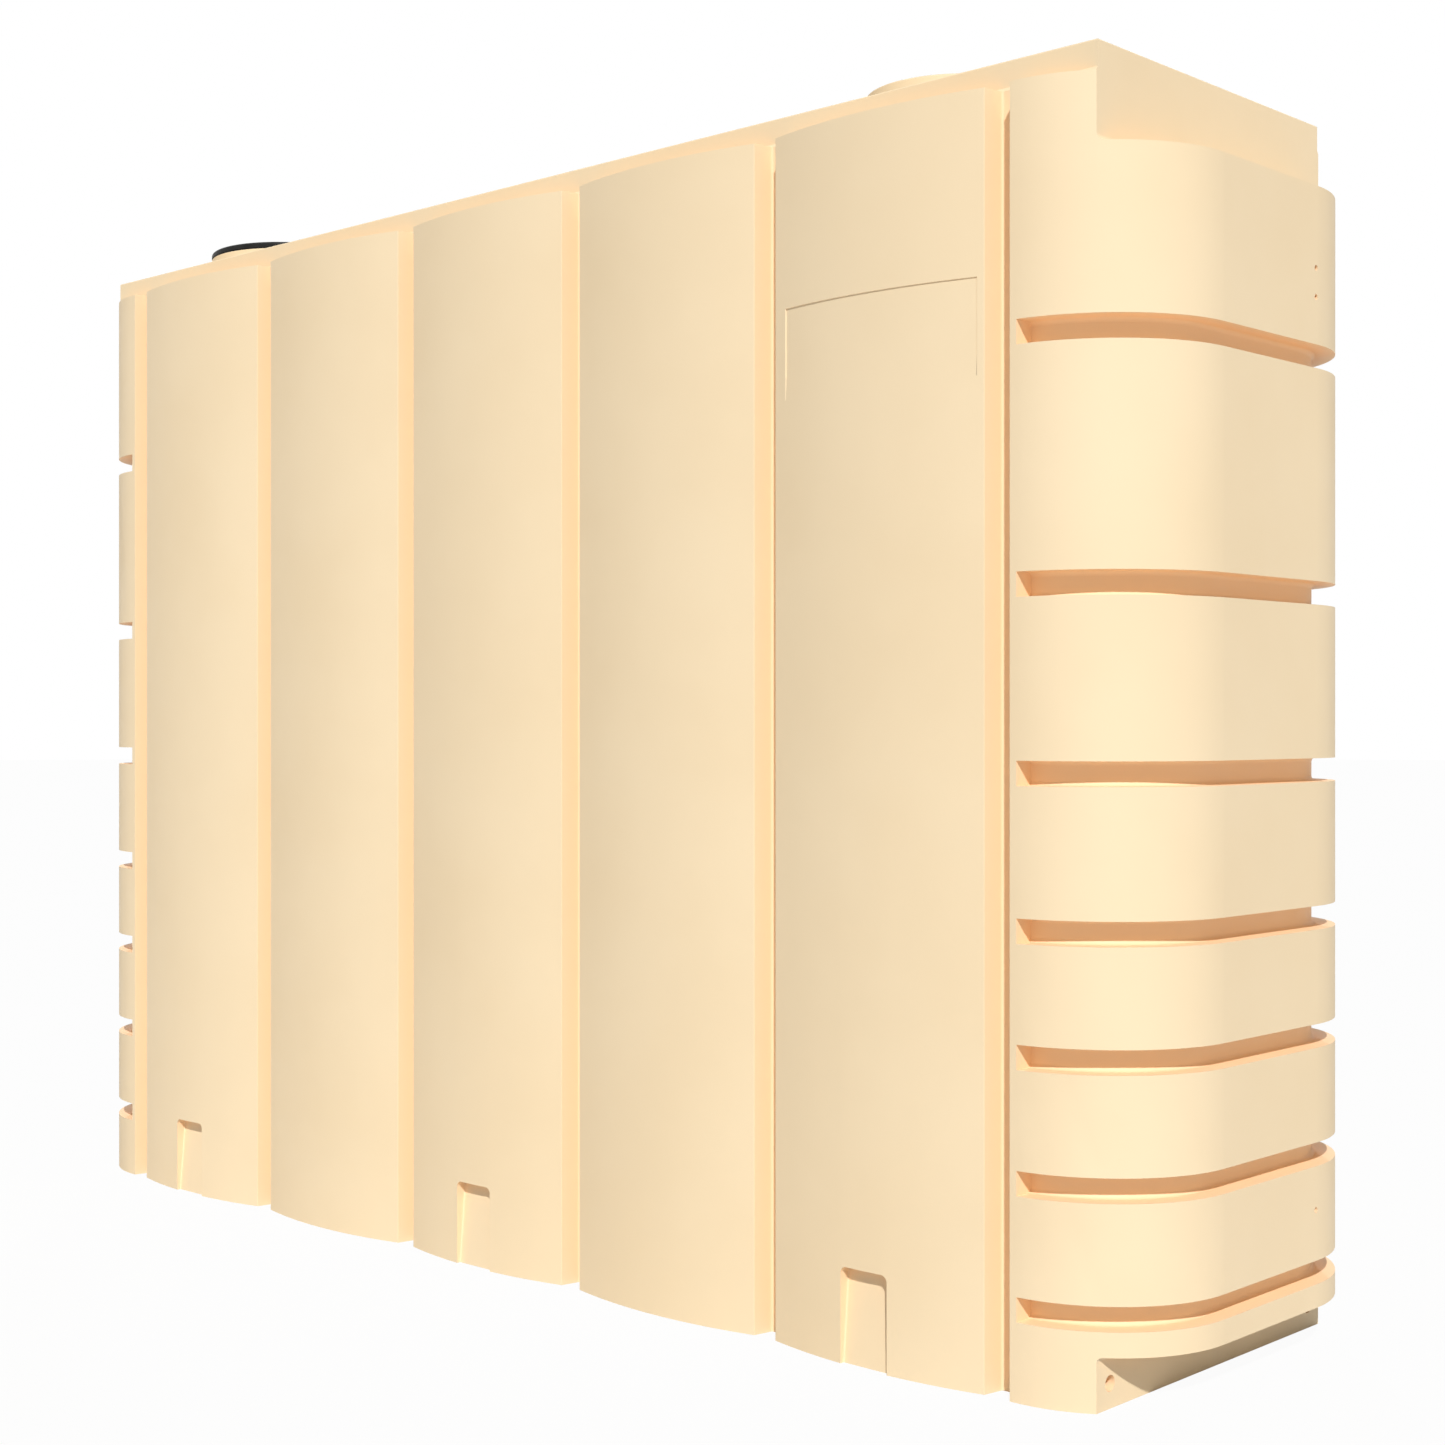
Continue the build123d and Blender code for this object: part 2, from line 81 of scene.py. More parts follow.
basket_low, basket_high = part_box("strainer_basket")
mesh_low, mesh_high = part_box("strainer_mesh")
screw_low, screw_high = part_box("clamp_screws")
seal_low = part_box("lid_seal")[0]
screen_low, screen_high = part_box("overflow_screen")
neck_x = (basket_low.x + basket_high.x) / 2

WELD = 1e-6  # corners nearer than this are one
FIELD_WELD = 1e-4  # the same where a cut leaves slivers in the recess
PANEL_SIDES = (0.774, 1.2245)  # from side to side of the right panel's face
PANEL_FOOT = 0.2  # that face has no foot pad above this height
FACING_FRONT = 0.9  # least part of a front face's normal along -Y
SAME_WAY = 0.97  # a packed normal further off its wall's than this gives way to it

SEAL_PAST_SKIRT = 0.0075  # from the strainer's skirt to the lid seal's rim
THREAD_HEIGHT = 0.0007
THREAD_STEPS = 96  # flats in one turn of the thread
THREAD_FOOT = 0.24  # half width of the ridge's foot, as a share of the pitch
THREAD_CREST = 0.1  # half width of its crest, as a share of the pitch
HEAD_RADIUS = 0.0038
HEAD_HEIGHT = 0.0026
HEAD_TURN = 0.7  # how far each screw is turned past its neighbour
HEAD_SHARP = radians(35)

FLOOR_RADIUS = 60.0
FLOOR_WHITE = 0.95  # share of plain white in what the lens sees of the floor
LAMP_SIZE = radians(1.5)
LAMP_DISTANCE = 8.0
BACK_ELEVATION = radians(6)
SENSOR_WIDTH = 36.0
SIGHT = 200.0


class ShellSettings(bpy.types.PropertyGroup):
    """Finish of the moulded shell and the bare recess on its front."""

    colour: FloatVectorProperty(
        name="Shell Colour",
        description="Colour of the moulded polyethylene",
        subtype="COLOR",
        size=3,
        min=0.0,
        max=1.0,
        default=(0.895, 0.725, 0.485),
    )
    shade: FloatVectorProperty(
        name="Shade Colour",
        description="Slightly deeper tone of the uneven powder",
        subtype="COLOR",
        size=3,
        min=0.0,
        max=1.0,
        default=(0.865, 0.69, 0.45),
    )
    # Painted shade: a warmer, deeper colour laid into the shaded grooves and channels.
    painted_shade_tone: FloatVectorProperty(
        name="Shelter Tone",
        description="Warmer tone of the sheltered grooves and channels",
        subtype="COLOR",
        size=3,
        min=0.0,
        max=1.0,
        default=(0.98, 0.7, 0.44),
    )
    # Reach of the occlusion that decides where the painted shade goes.
    shelter: FloatProperty(
        name="Shelter Reach",
        description="How near other walls make a place count as sheltered",
        unit="LENGTH",
        subtype="DISTANCE",
        min=0.01,
        default=0.09,
    )
    grain: FloatProperty(
        name="Grain Size",
        description="Size of the fine pebbles that the mould leaves",
        unit="LENGTH",
        subtype="DISTANCE",
        min=0.0005,
        default=0.0025,
    )
    recess_left: FloatProperty(
        name="Recess Left",
        description="Left edge of the bare recess on the front",
        unit="LENGTH",
        subtype="DISTANCE",
        default=0.804,
    )
    recess_right: FloatProperty(
        name="Recess Right",
        description="Right edge of the bare recess on the front",
        unit="LENGTH",
        subtype="DISTANCE",
        default=1.2125,
    )
    recess_foot: FloatProperty(
        name="Recess Foot",
        description="Lower edge of the bare recess",
        unit="LENGTH",
        subtype="DISTANCE",
        default=1.636,
    )
    recess_head: FloatProperty(
        name="Recess Head",
        description="Upper edge of the bare recess",
        unit="LENGTH",
        subtype="DISTANCE",
        default=1.795,
    )
    recess_depth: FloatProperty(
        name="Recess Depth",
        description="How far the bare recess lies under the panel",
        unit="LENGTH",
        subtype="DISTANCE",
        min=0.0001,
        default=0.002,
    )
    recess_wall: FloatProperty(
        name="Recess Wall",
        description="Width of the recess's sloping side walls",
        unit="LENGTH",
        subtype="DISTANCE",
        min=0.0001,
        default=0.001,
    )
    recess_run: FloatProperty(
        name="Recess Run-Out",
        description="Height over which the recess runs out at its foot",
        unit="LENGTH",
        subtype="DISTANCE",
        min=0.005,
        default=0.04,
    )


class StrainerSettings(bpy.types.PropertyGroup):
    """Fine pieces of the inlet strainer."""

    wire: FloatProperty(
        name="Mesh Wire",
        description="Diameter of the strainer's woven wire",
        unit="LENGTH",
        subtype="DISTANCE",
        min=0.0001,
        default=(mesh_high.z - mesh_low.z) / 2,
    )
    pitch: FloatProperty(
        name="Mesh Pitch",
        description="Distance from wire to wire in the strainer",
        unit="LENGTH",
        subtype="DISTANCE",
        min=0.002,
        default=0.004,
    )
    thread_pitch: FloatProperty(
        name="Thread Pitch",
        description="Rise of the skirt's thread in one turn",
        unit="LENGTH",
        subtype="DISTANCE",
        min=0.004,
        default=0.012,
    )
    thread_turns: IntProperty(
        name="Thread Turns",
        description="Number of turns of the skirt's thread",
        min=1,
        default=3,
    )
    screws: IntProperty(
        name="Screws",
        description="Number of screws in the clamp ring",
        min=1,
        default=8,
    )
    plastic: FloatVectorProperty(
        name="Plastic Colour",
        description="Colour of the black mouldings",
        subtype="COLOR",
        size=3,
        min=0.0,
        max=1.0,
        default=(0.011, 0.0112, 0.0108),
    )


class OverflowSettings(bpy.types.PropertyGroup):
    """Fine pieces of the overflow."""

    wire: FloatProperty(
        name="Screen Wire",
        description="Diameter of the insect screen's wire",
        unit="LENGTH",
        subtype="DISTANCE",
        min=0.0001,
        default=0.0004,
    )
    pitch: FloatProperty(
        name="Screen Pitch",
        description="Distance from wire to wire in the insect screen",
        unit="LENGTH",
        subtype="DISTANCE",
        min=0.001,
        default=0.002,
    )


class StageSettings(bpy.types.PropertyGroup):
    """Light, floor and camera."""

    sun: FloatProperty(
        name="Key Light",
        description="Strength of the key light",
        min=0.0,
        default=3.25,
    )
    sun_azimuth: FloatProperty(
        name="Key Azimuth",
        description="Turn of the key light from straight in front towards the right",
        subtype="ANGLE",
        unit="ROTATION",
        default=radians(45),
    )
    sun_elevation: FloatProperty(
        name="Key Elevation",
        description="Height of the key light over the floor",
        subtype="ANGLE",
        unit="ROTATION",
        default=radians(40.3),
    )
    back: FloatProperty(
        name="Back Light",
        description="Strength of the light on the far sides",
        min=0.0,
        default=2.1,
    )
    fill: FloatProperty(
        name="Fill Light",
        description="Strength of the soft light from all round",
        min=0.0,
        default=0.22,
    )
    floor_colour: FloatVectorProperty(
        name="Floor Colour",
        description="Colour of the plain floor",
        subtype="COLOR",
        size=3,
        min=0.0,
        max=1.0,
        default=(0.64, 0.64, 0.64),
    )
    camera_place: FloatVectorProperty(
        name="Camera Place",
        description="Where the camera stands",
        unit="LENGTH",
        subtype="TRANSLATION",
        size=3,
        default=(3.33464, -3.2467, 1.0805),
    )
    camera_turn: FloatProperty(
        name="Camera Turn",
        description="Turn of the view about the upright axis",
        subtype="ANGLE",
        unit="ROTATION",
        default=radians(43.278),
    )
    camera_dip: FloatProperty(
        name="Camera Dip",
        description="How far the view dips under the level",
        subtype="ANGLE",
        unit="ROTATION",
        default=radians(0.031),
    )
    lens: FloatProperty(
        name="Lens",
        description="Focal length for a sensor 36 mm wide",
        unit="CAMERA",
        min=1.0,
        default=54.728,
    )


def new_finish(name):
    """A material with its shader, its colour, roughness and normal still free."""
    material = bpy.data.materials.new(name)
    material.use_nodes = True
    tree = material.node_tree
    tree.nodes.clear()
    out = tree.nodes.new("ShaderNodeOutputMaterial")
    shader = tree.nodes.new("ShaderNodeBsdfPrincipled")
    tree.links.new(shader.outputs["BSDF"], out.inputs["Surface"])
    place = tree.nodes.new("ShaderNodeTexCoord")
    return material, tree, shader, place.outputs["Object"]


def noise(tree, place, size, detail=2.0, stretch=None):
    """Noise whose patches are about size long."""
    if stretch:
        mapping = tree.nodes.new("ShaderNodeMapping")
        mapping.inputs["Scale"].default_value = stretch
        tree.links.new(place, mapping.inputs["Vector"])
        place = mapping.outputs["Vector"]
    texture = tree.nodes.new("ShaderNodeTexNoise")
    texture.inputs["Scale"].default_value = 1 / size
    texture.inputs["Detail"].default_value = detail
    tree.links.new(place, texture.inputs["Vector"])
    return texture.outputs["Fac"]


def between(tree, value, low, high, start=0.3, end=0.7):
    """A number from low to high as value goes from start to end."""
    spread = tree.nodes.new("ShaderNodeMapRange")
    spread.inputs["From Min"].default_value = start
    spread.inputs["From Max"].default_value = end
    spread.inputs["To Min"].default_value = low
    spread.inputs["To Max"].default_value = high
    tree.links.new(value, spread.inputs["Value"])
    return spread.outputs["Result"]


def blend_colours(tree, factor, first, second):
    """First colour where factor is 0, second where it is 1."""
    mix = tree.nodes.new("ShaderNodeMix")
    mix.data_type = "RGBA"
    tree.links.new(factor, mix.inputs["Factor"])
    for socket, colour in ((mix.inputs["A"], first), (mix.inputs["B"], second)):
        if isinstance(colour, bpy.types.NodeSocket):
            tree.links.new(colour, socket)
        else:
            socket.default_value = (*colour, 1)
    return mix.outputs["Result"]


def raised(tree, height, depth, under=None):
    """Normal of a surface that height lifts by up to depth, over another normal."""
    bump = tree.nodes.new("ShaderNodeBump")
    bump.inputs["Strength"].default_value = 1.0
    bump.inputs["Distance"].default_value = depth
    tree.links.new(height, bump.inputs["Height"])
    if under:
        tree.links.new(under, bump.inputs["Normal"])
    return bump.outputs["Normal"]


def calculated(tree, operation, first, second):
    """Result of one math step on two sockets or numbers."""
    step = tree.nodes.new("ShaderNodeMath")
    step.operation = operation
    for socket, value in zip(step.inputs, (first, second)):
        if isinstance(value, bpy.types.NodeSocket):
            tree.links.new(value, socket)
        else:
            socket.default_value = value
    return step.outputs["Value"]


def polyethylene(settings):
    """Satin moulded polyethylene with mould grain, slow waves and painted warm shade in its
    grooves.
    """
    material, tree, shader, place = new_finish("moulded_polyethylene")
    patches = noise(tree, place, size=0.35, detail=3.0)
    mottle = between(tree, patches, low=0.0, high=1.0)
    powder = noise(tree, place, size=settings.grain * 0.6, detail=1.0)
    speckle = between(tree, powder, low=0.0, high=0.35)
    tone = calculated(tree, "MAXIMUM", mottle, speckle)
    colour = blend_colours(tree, tone, tuple(settings.colour), tuple(settings.shade))
    # Painted shade: ambient occlusion turns the colour towards a warmer, deeper tone in grooves,
    # channels and recesses, where shade falls.
    shelter = tree.nodes.new("ShaderNodeAmbientOcclusion")
    shelter.samples = 6
    shelter.only_local = True
    shelter.inputs["Distance"].default_value = settings.shelter
    openness = shelter.outputs["AO"]
    sheltered = between(tree, openness, low=1.0, high=0.0, start=0.35, end=0.85)
    colour = blend_colours(tree, sheltered, colour, tuple(settings.painted_shade_tone))
    tree.links.new(colour, shader.inputs["Base Color"])
    satin = between(tree, noise(tree, place, size=0.05, detail=4.0), low=0.48, high=0.6)
    tree.links.new(satin, shader.inputs["Roughness"])
    shader.inputs["IOR"].default_value = 1.5
    shader.inputs["Specular IOR Level"].default_value = 0.25
    waves = noise(tree, place, size=0.16, detail=1.0)
    normal = raised(tree, waves, depth=0.0012)
    pebbles = noise(tree, place, size=settings.grain, detail=2.0)
    normal = raised(tree, pebbles, depth=0.00008, under=normal)
    tree.links.new(normal, shader.inputs["Normal"])
    return material


def black_plastic(settings):
    """Injection-moulded black plastic with a fine eroded grain."""
    material, tree, shader, place = new_finish("grained_plastic")
    base = tuple(settings.plastic)
    dusty = tuple(min(1.0, c * 1.5 + 0.004) for c in base)
    cloud = noise(tree, place, size=0.03, detail=4.0)
    patches = between(tree, cloud, low=0.0, high=1.0, start=0.4, end=0.8)
    tree.links.new(blend_colours(tree, patches, base, dusty), shader.inputs["Base Color"])
    satin = between(tree, noise(tree, place, size=0.012, detail=3.0), low=0.42, high=0.54)
    tree.links.new(satin, shader.inputs["Roughness"])
    shader.inputs["Specular IOR Level"].default_value = 0.14
    normal = raised(tree, noise(tree, place, size=0.0009, detail=2.0), depth=0.00005)
    tree.links.new(normal, shader.inputs["Normal"])
    return material


def stainless_wire():
    """Drawn stainless wire, bright with faint stains."""
    material, tree, shader, place = new_finish("drawn_wire")
    cloud = noise(tree, place, size=0.02, detail=4.0)
    stains = between(tree, cloud, low=0.0, high=1.0, start=0.35, end=0.75)
    bright, stained = (0.6, 0.6, 0.585), (0.44, 0.43, 0.41)
    colour = blend_colours(tree, stains, bright, stained)
    tree.links.new(colour, shader.inputs["Base Color"])
    shader.inputs["Metallic"].default_value = 1.0
    rough = between(tree, noise(tree, place, size=0.004, detail=2.0), low=0.26, high=0.4)
    tree.links.new(rough, shader.inputs["Roughness"])
    normal = raised(tree, noise(tree, place, size=0.0004, detail=1.0), depth=0.00001)
    tree.links.new(normal, shader.inputs["Normal"])
    return material


def stainless_screw():
    """Cold-headed stainless with faint scratches."""
    material, tree, shader, place = new_finish("headed_steel")
    wear = between(tree, noise(tree, place, size=0.003, detail=3.0), low=0.0, high=1.0)
    bright, worn = (0.64, 0.64, 0.63), (0.52, 0.515, 0.5)
    colour = blend_colours(tree, wear, bright, worn)
    tree.links.new(colour, shader.inputs["Base Color"])
    shader.inputs["Metallic"].default_value = 1.0
    scratches = noise(tree, place, size=0.0008, detail=2.0, stretch=(1.0, 6.0, 1.0))
    rough = between(tree, scratches, low=0.22, high=0.42)
    tree.links.new(rough, shader.inputs["Roughness"])
    normal = raised(tree, scratches, depth=0.00001)
    tree.links.new(normal, shader.inputs["Normal"])
    return material


def black_rubber():
    """Moulded rubber, dull with a dry bloom."""
    material, tree, shader, place = new_finish("moulded_rubber")
    cloud = noise(tree, place, size=0.02, detail=5.0)
    bloom = between(tree, cloud, low=0.0, high=1.0, start=0.4, end=0.75)
    black, dusty = (0.018, 0.018, 0.018), (0.045, 0.044, 0.042)
    colour = blend_colours(tree, bloom, black, dusty)
    tree.links.new(colour, shader.inputs["Base Color"])
    rough = between(tree, noise(tree, place, size=0.006, detail=2.0), low=0.68, high=0.85)
    tree.links.new(rough, shader.inputs["Roughness"])
    shader.inputs["Specular IOR Level"].default_value = 0.3
    normal = raised(tree, noise(tree, place, size=0.0007, detail=2.0), depth=0.00003)
    tree.links.new(normal, shader.inputs["Normal"])
    return material


def finish_named(name, make):
    """The material of that name, made the first time it is needed."""
    return bpy.data.materials.get(name) or make()


def coat(piece, material):
    """Gives a piece that one material."""
    piece.data.materials.clear()
    piece.data.materials.append(material)


def new_piece(name, mesh, body, material):
    """A finished mesh as a piece that rides on a body."""
    piece = bpy.data.objects.new(name, mesh)
    bpy.context.scene.collection.objects.link(piece)
    coat(piece, material)
    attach(piece, body)
    return piece


def with_kept_normals(source):
    """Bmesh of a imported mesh, merged, and the layer that holds its corner normals."""
    mesh = source.copy()
    normals = [0.0] * (3 * len(mesh.loops))
    mesh.corner_normals.foreach_get("vector", normals)
    mesh.attributes.new("kept_normal", "FLOAT_VECTOR", "CORNER")
    mesh.attributes["kept_normal"].data.foreach_set("vector", normals)
    form = bmesh.new()
    form.from_mesh(mesh)
    bpy.data.meshes.remove(mesh)
    bmesh.ops.remove_doubles(form, verts=form.verts, dist=WELD)
    return form, form.loops.layers.float_vector["kept_normal"]


def mesh_with_normals(name, form):
    """Mesh made of a bmesh that carries its corner normals."""
    mesh = bpy.data.meshes.new(name)
    form.to_mesh(mesh)
    form.free()
    kept = mesh.attributes["kept_normal"]
    normals = [item.vector.normalized() for item in kept.data]
    mesh.attributes.remove(kept)
    mesh.shade_smooth()
    mesh.normals_split_custom_set(normals)
    return mesh


def corners_of(faces):
    """Corners of faces, each once."""
    return list(dict.fromkeys(vert for face in faces for vert in face.verts))


def recessed_shell(settings):
    """Mesh of the moulded shell with the bare recess pressed into its right panel."""
    form, kept = with_kept_normals(nodes["tank_body"].data)
    low = Vector((settings.recess_left, 0, settings.recess_foot))
    high = Vector((settings.recess_right, 0, settings.recess_head))
    across, up = Vector((1, 0, 0)), Vector((0, 0, 1))

    def faces_between(left, right, foot, head):
        """Outer faces of the front whose middle lies between those sides."""
        found = []
        for face in form.faces:
            middle = face.calc_center_median()
            outside = middle.y < 0 and face.normal.y < -FACING_FRONT
            if outside and left < middle.x < right and foot < middle.z < head:
                found.append(face)
        return found

    run_out = low + up * settings.recess_run
    for place, way in ((low, across), (high, across), (low, up), (run_out, up), (high, up)):
        cut = faces_between(*PANEL_SIDES, PANEL_FOOT, cad_box[1].z)
        edges = dict.fromkeys(edge for face in cut for edge in face.edges)
        parts = [*cut, *edges, *corners_of(cut)]
        bmesh.ops.bisect_plane(form, geom=parts, dist=WELD, plane_co=place, plane_no=way)
    corners = corners_of(faces_between(low.x, high.x, low.z, high.z))
    bmesh.ops.remove_doubles(form, verts=corners, dist=FIELD_WELD)
    field = faces_between(low.x, high.x, low.z, high.z)
    walls = bmesh.ops.inset_region(
        form,
        faces=field,
        thickness=settings.recess_wall,
        depth=-settings.recess_depth,
        use_even_offset=True,
    )["faces"]
    lowest_row = low.z + 2 * settings.recess_wall
    foot = [vert for vert in corners_of(field) if vert.co.z < lowest_row]
    bmesh.ops.translate(form, verts=foot, vec=(0, -settings.recess_depth, 0))
    form.normal_update()
    for wall in walls:
        for loop in wall.loops:
            if wall.normal.dot(loop[kept]) < SAME_WAY:
                loop[kept] = wall.normal
    return mesh_with_normals("recessed_shell", form)


def woven_disc(name, place, radius, pitch, wire):
    """Mesh of a round plain-woven wire cloth, drawn flat and then put in place."""
    weave = bpy.data.curves.new(name, "CURVE")
    weave.dimensions = "3D"
    weave.bevel_depth = wire / 2
    weave.bevel_resolution = 0
    weave.use_fill_caps = True
    reach = int(radius / pitch)
    for across in (0, 1):
        for row in range(-reach, reach + 1):
            half = sqrt(radius**2 - (row * pitch) ** 2)
            crossings = range(-int(half / pitch), int(half / pitch) + 1)
            if len(crossings) < 3:
                continue
            strand = weave.splines.new("POLY")
            strand.points.add(len(crossings) - 1)
            for point, column in zip(strand.points, crossings):
                over = 1 if (row + column + across) % 2 else -1
                along, aside = column * pitch, row * pitch
                x, y = (aside, along) if across else (along, aside)
                point.co = (x, y, over * wire / 2, 1)
    drawn = bpy.data.objects.new(name + "_drawn", weave)
    mesh = bpy.data.meshes.new_from_object(drawn)
    mesh.name = name
    bpy.data.objects.remove(drawn)
    bpy.data.curves.remove(weave)
    mesh.transform(place)
    return mesh


def thread_ridge(name, place, radius, height, pitch, turns):
    """Mesh of a ridge that winds up round a skirt."""
    form = bmesh.new()
    foot, crest = pitch * THREAD_FOOT, pitch * THREAD_CREST
    sunk = -height / 2
    outline = ((sunk, -foot), (height, -crest), (height, crest), (sunk, foot))
    profile = form.faces.new([form.verts.new((radius + out, 0, up)) for out, up in outline])
    steps = THREAD_STEPS * turns
    bmesh.ops.spin(
        form,
        geom=[profile, *profile.edges, *profile.verts],
        cent=(0, 0, 0),
        axis=(0, 0, 1),
        dvec=(0, 0, pitch * turns / steps),
        angle=2 * pi * turns,
        steps=steps,
        use_merge=False,
    )
    bmesh.ops.remove_doubles(form, verts=form.verts, dist=WELD / 10)
    bmesh.ops.recalc_face_normals(form, faces=form.faces)
    mesh = bpy.data.meshes.new(name)
    form.to_mesh(mesh)
    form.free()
    mesh.transform(place)
    mesh.shade_smooth()
    return mesh


def screw_heads(name, centre, circle, count, radius, height, length):
    """Mesh of a ring of pan-head screws with crossed slots."""
    form = bmesh.new()
    crown, shank_inset = radius * 0.7, radius * 0.48
    shoulder, slot_depth, slot_taper = height * 0.45, height * 0.55, 0.75
    for turn in range(count):
        grid = bmesh.ops.create_grid(form, x_segments=3, y_segments=3, size=radius * 0.36)
        faces = list(dict.fromkeys(face for vert in grid["verts"] for face in vert.link_faces))
        inner = sorted(faces, key=lambda face: face.calc_center_median().length)[:5]
        for vert in grid["verts"]:
            if vert.is_boundary:
                vert.co = vert.co.normalized() * crown
        rim = [edge for edge in form.edges if edge.is_boundary and edge.verts[0] in grid["verts"]]
        sides = bmesh.ops.extrude_edge_only(form, edges=rim)["geom"]
        below = [item for item in sides if isinstance(item, bmesh.types.BMVert)]
        for vert in below:
            vert.co = vert.co.normalized() * radius
            vert.co.z = -shoulder
        rim = [item for item in sides if isinstance(item, bmesh.types.BMEdge) and item.is_boundary]
        walls = bmesh.ops.extrude_edge_only(form, edges=rim)["geom"]
        feet = [item for item in walls if isinstance(item, bmesh.types.BMVert)]
        for vert in feet:
            vert.co.z = -height
        slot = bmesh.ops.extrude_face_region(form, geom=inner)["geom"]
        slot_verts = [item for item in slot if isinstance(item, bmesh.types.BMVert)]
        bmesh.ops.delete(form, geom=inner, context="FACES")
        for vert in slot_verts:
            vert.co.x *= slot_taper
            vert.co.y *= slot_taper
            vert.co.z -= slot_depth
        rim = [item for item in walls if isinstance(item, bmesh.types.BMEdge) and item.is_boundary]
        bottom = bmesh.ops.contextual_create(form, geom=rim)["faces"]
        shank = bmesh.ops.inset_region(form, faces=bottom, thickness=shank_inset)
        shaft = bmesh.ops.extrude_face_region(form, geom=bottom)["geom"]
        bmesh.ops.delete(form, geom=bottom, context="FACES")
        shaft_verts = [item for item in shaft if isinstance(item, bmesh.types.BMVert)]
        bmesh.ops.translate(form, verts=shaft_verts, vec=(0, 0, -length))
        made = [*grid["verts"], *below, *feet, *slot_verts, *shaft_verts]
        made += [vert for face in shank["faces"] for vert in face.verts]
        made = list(dict.fromkeys(made))
        angle = 2 * pi * turn / count
        spot = Matrix.Translation((centre.x, centre.y, centre.z))
        spot = spot @ Matrix.Rotation(angle, 4, "Z") @ Matrix.Translation((circle, 0, 0))
        spot = spot @ Matrix.Rotation(HEAD_TURN * turn, 4, "Z")
        bmesh.ops.transform(form, matrix=spot, verts=made)
    bmesh.ops.recalc_face_normals(form, faces=form.faces)
    mesh = bpy.data.meshes.new(name)
    form.to_mesh(mesh)
    form.free()
    mesh.shade_smooth()
    mesh.set_sharp_from_angle(angle=HEAD_SHARP)
    return mesh


class WATERTANK_OT_shell(bpy.types.Operator):
    """Give the moulded shell its finish and its bare recess"""

    bl_idname = "watertank.shell"
    bl_label = "Finish Shell"

    def execute(self, context):
        settings = context.scene.watertank_shell
        finish = finish_named("moulded_polyethylene", lambda: polyethylene(settings))
        coat(nodes["tank_body"], finish)
        mesh = recessed_shell(settings)
        shell = new_piece("recessed_shell", mesh, "tank", finish)
        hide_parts("tank_body")
        return {"FINISHED"}


class WATERTANK_OT_strainer(bpy.types.Operator):
    """Finish the strainer and add its woven mesh, thread and screws"""

    bl_idname = "watertank.strainer"
    bl_label = "Build Strainer"

    def execute(self, context):
        settings = context.scene.watertank_strainer
        plastic = finish_named("grained_plastic", lambda: black_plastic(settings))
        for name in ("strainer_basket", "mesh_clamp_ring"):
            coat(nodes[name], plastic)
        rubber = finish_named("moulded_rubber", black_rubber)
        coat(nodes["lid_seal"], rubber)
        wire = finish_named("drawn_wire", stainless_wire)
        middle = (mesh_low + mesh_high) / 2
        mesh = woven_disc(
            "strainer_weave",
            Matrix.Translation(middle),
            (mesh_high.x - mesh_low.x) / 2,
            settings.pitch,
            settings.wire,
        )
        weave = new_piece("strainer_weave", mesh, "strainer", wire)
        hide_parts("strainer_mesh")
        coat(nodes["strainer_mesh"], wire)
        ridge = thread_ridge(
            "strainer_thread",
            Matrix.Translation((neck_x, 0, basket_low.z + settings.thread_pitch / 2)),
            neck_x - seal_low.x - SEAL_PAST_SKIRT,
            THREAD_HEIGHT,
            settings.thread_pitch,
            settings.thread_turns,
        )
        new_piece("strainer_thread", ridge, "strainer", plastic)
        steel = finish_named("headed_steel", stainless_screw)
        circle = (screw_high.x - screw_low.x) / 2 - HEAD_RADIUS
        heads = screw_heads(
            "cross_head_screws",
            Vector((neck_x, 0, screw_high.z)),
            circle,
            settings.screws,
            HEAD_RADIUS,
            HEAD_HEIGHT,
            screw_high.z - screw_low.z - HEAD_HEIGHT,
        )
        screws = new_piece("cross_head_screws", heads, "strainer", steel)
        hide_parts("clamp_screws")
        coat(nodes["clamp_screws"], steel)
        return {"FINISHED"}


class WATERTANK_OT_overflow(bpy.types.Operator):
    """Finish the overflow and weave its insect screen"""

    bl_idname = "watertank.overflow"
    bl_label = "Build Overflow"

    def execute(self, context):
        settings = context.scene.watertank_overflow
        strainer = context.scene.watertank_strainer
        plastic = finish_named("grained_plastic", lambda: black_plastic(strainer))
        for name in ("overflow_fitting", "overflow_locknut", "screen_ring"):
            coat(nodes[name], plastic)
        coat(nodes["overflow_seal"], finish_named("moulded_rubber", black_rubber))
        wire = finish_named("drawn_wire", stainless_wire)
        place = Matrix.Translation((screen_low + screen_high) / 2)
        mesh = woven_disc(
            "insect_weave",
            place @ Matrix.Rotation(pi / 2, 4, "Y"),
            (screen_high.y - screen_low.y) / 2,
            settings.pitch,
            settings.wire,
        )
        weave = new_piece("insect_weave", mesh, "tank", wire)
        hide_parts("overflow_screen")
        coat(nodes["overflow_screen"], wire)
        return {"FINISHED"}


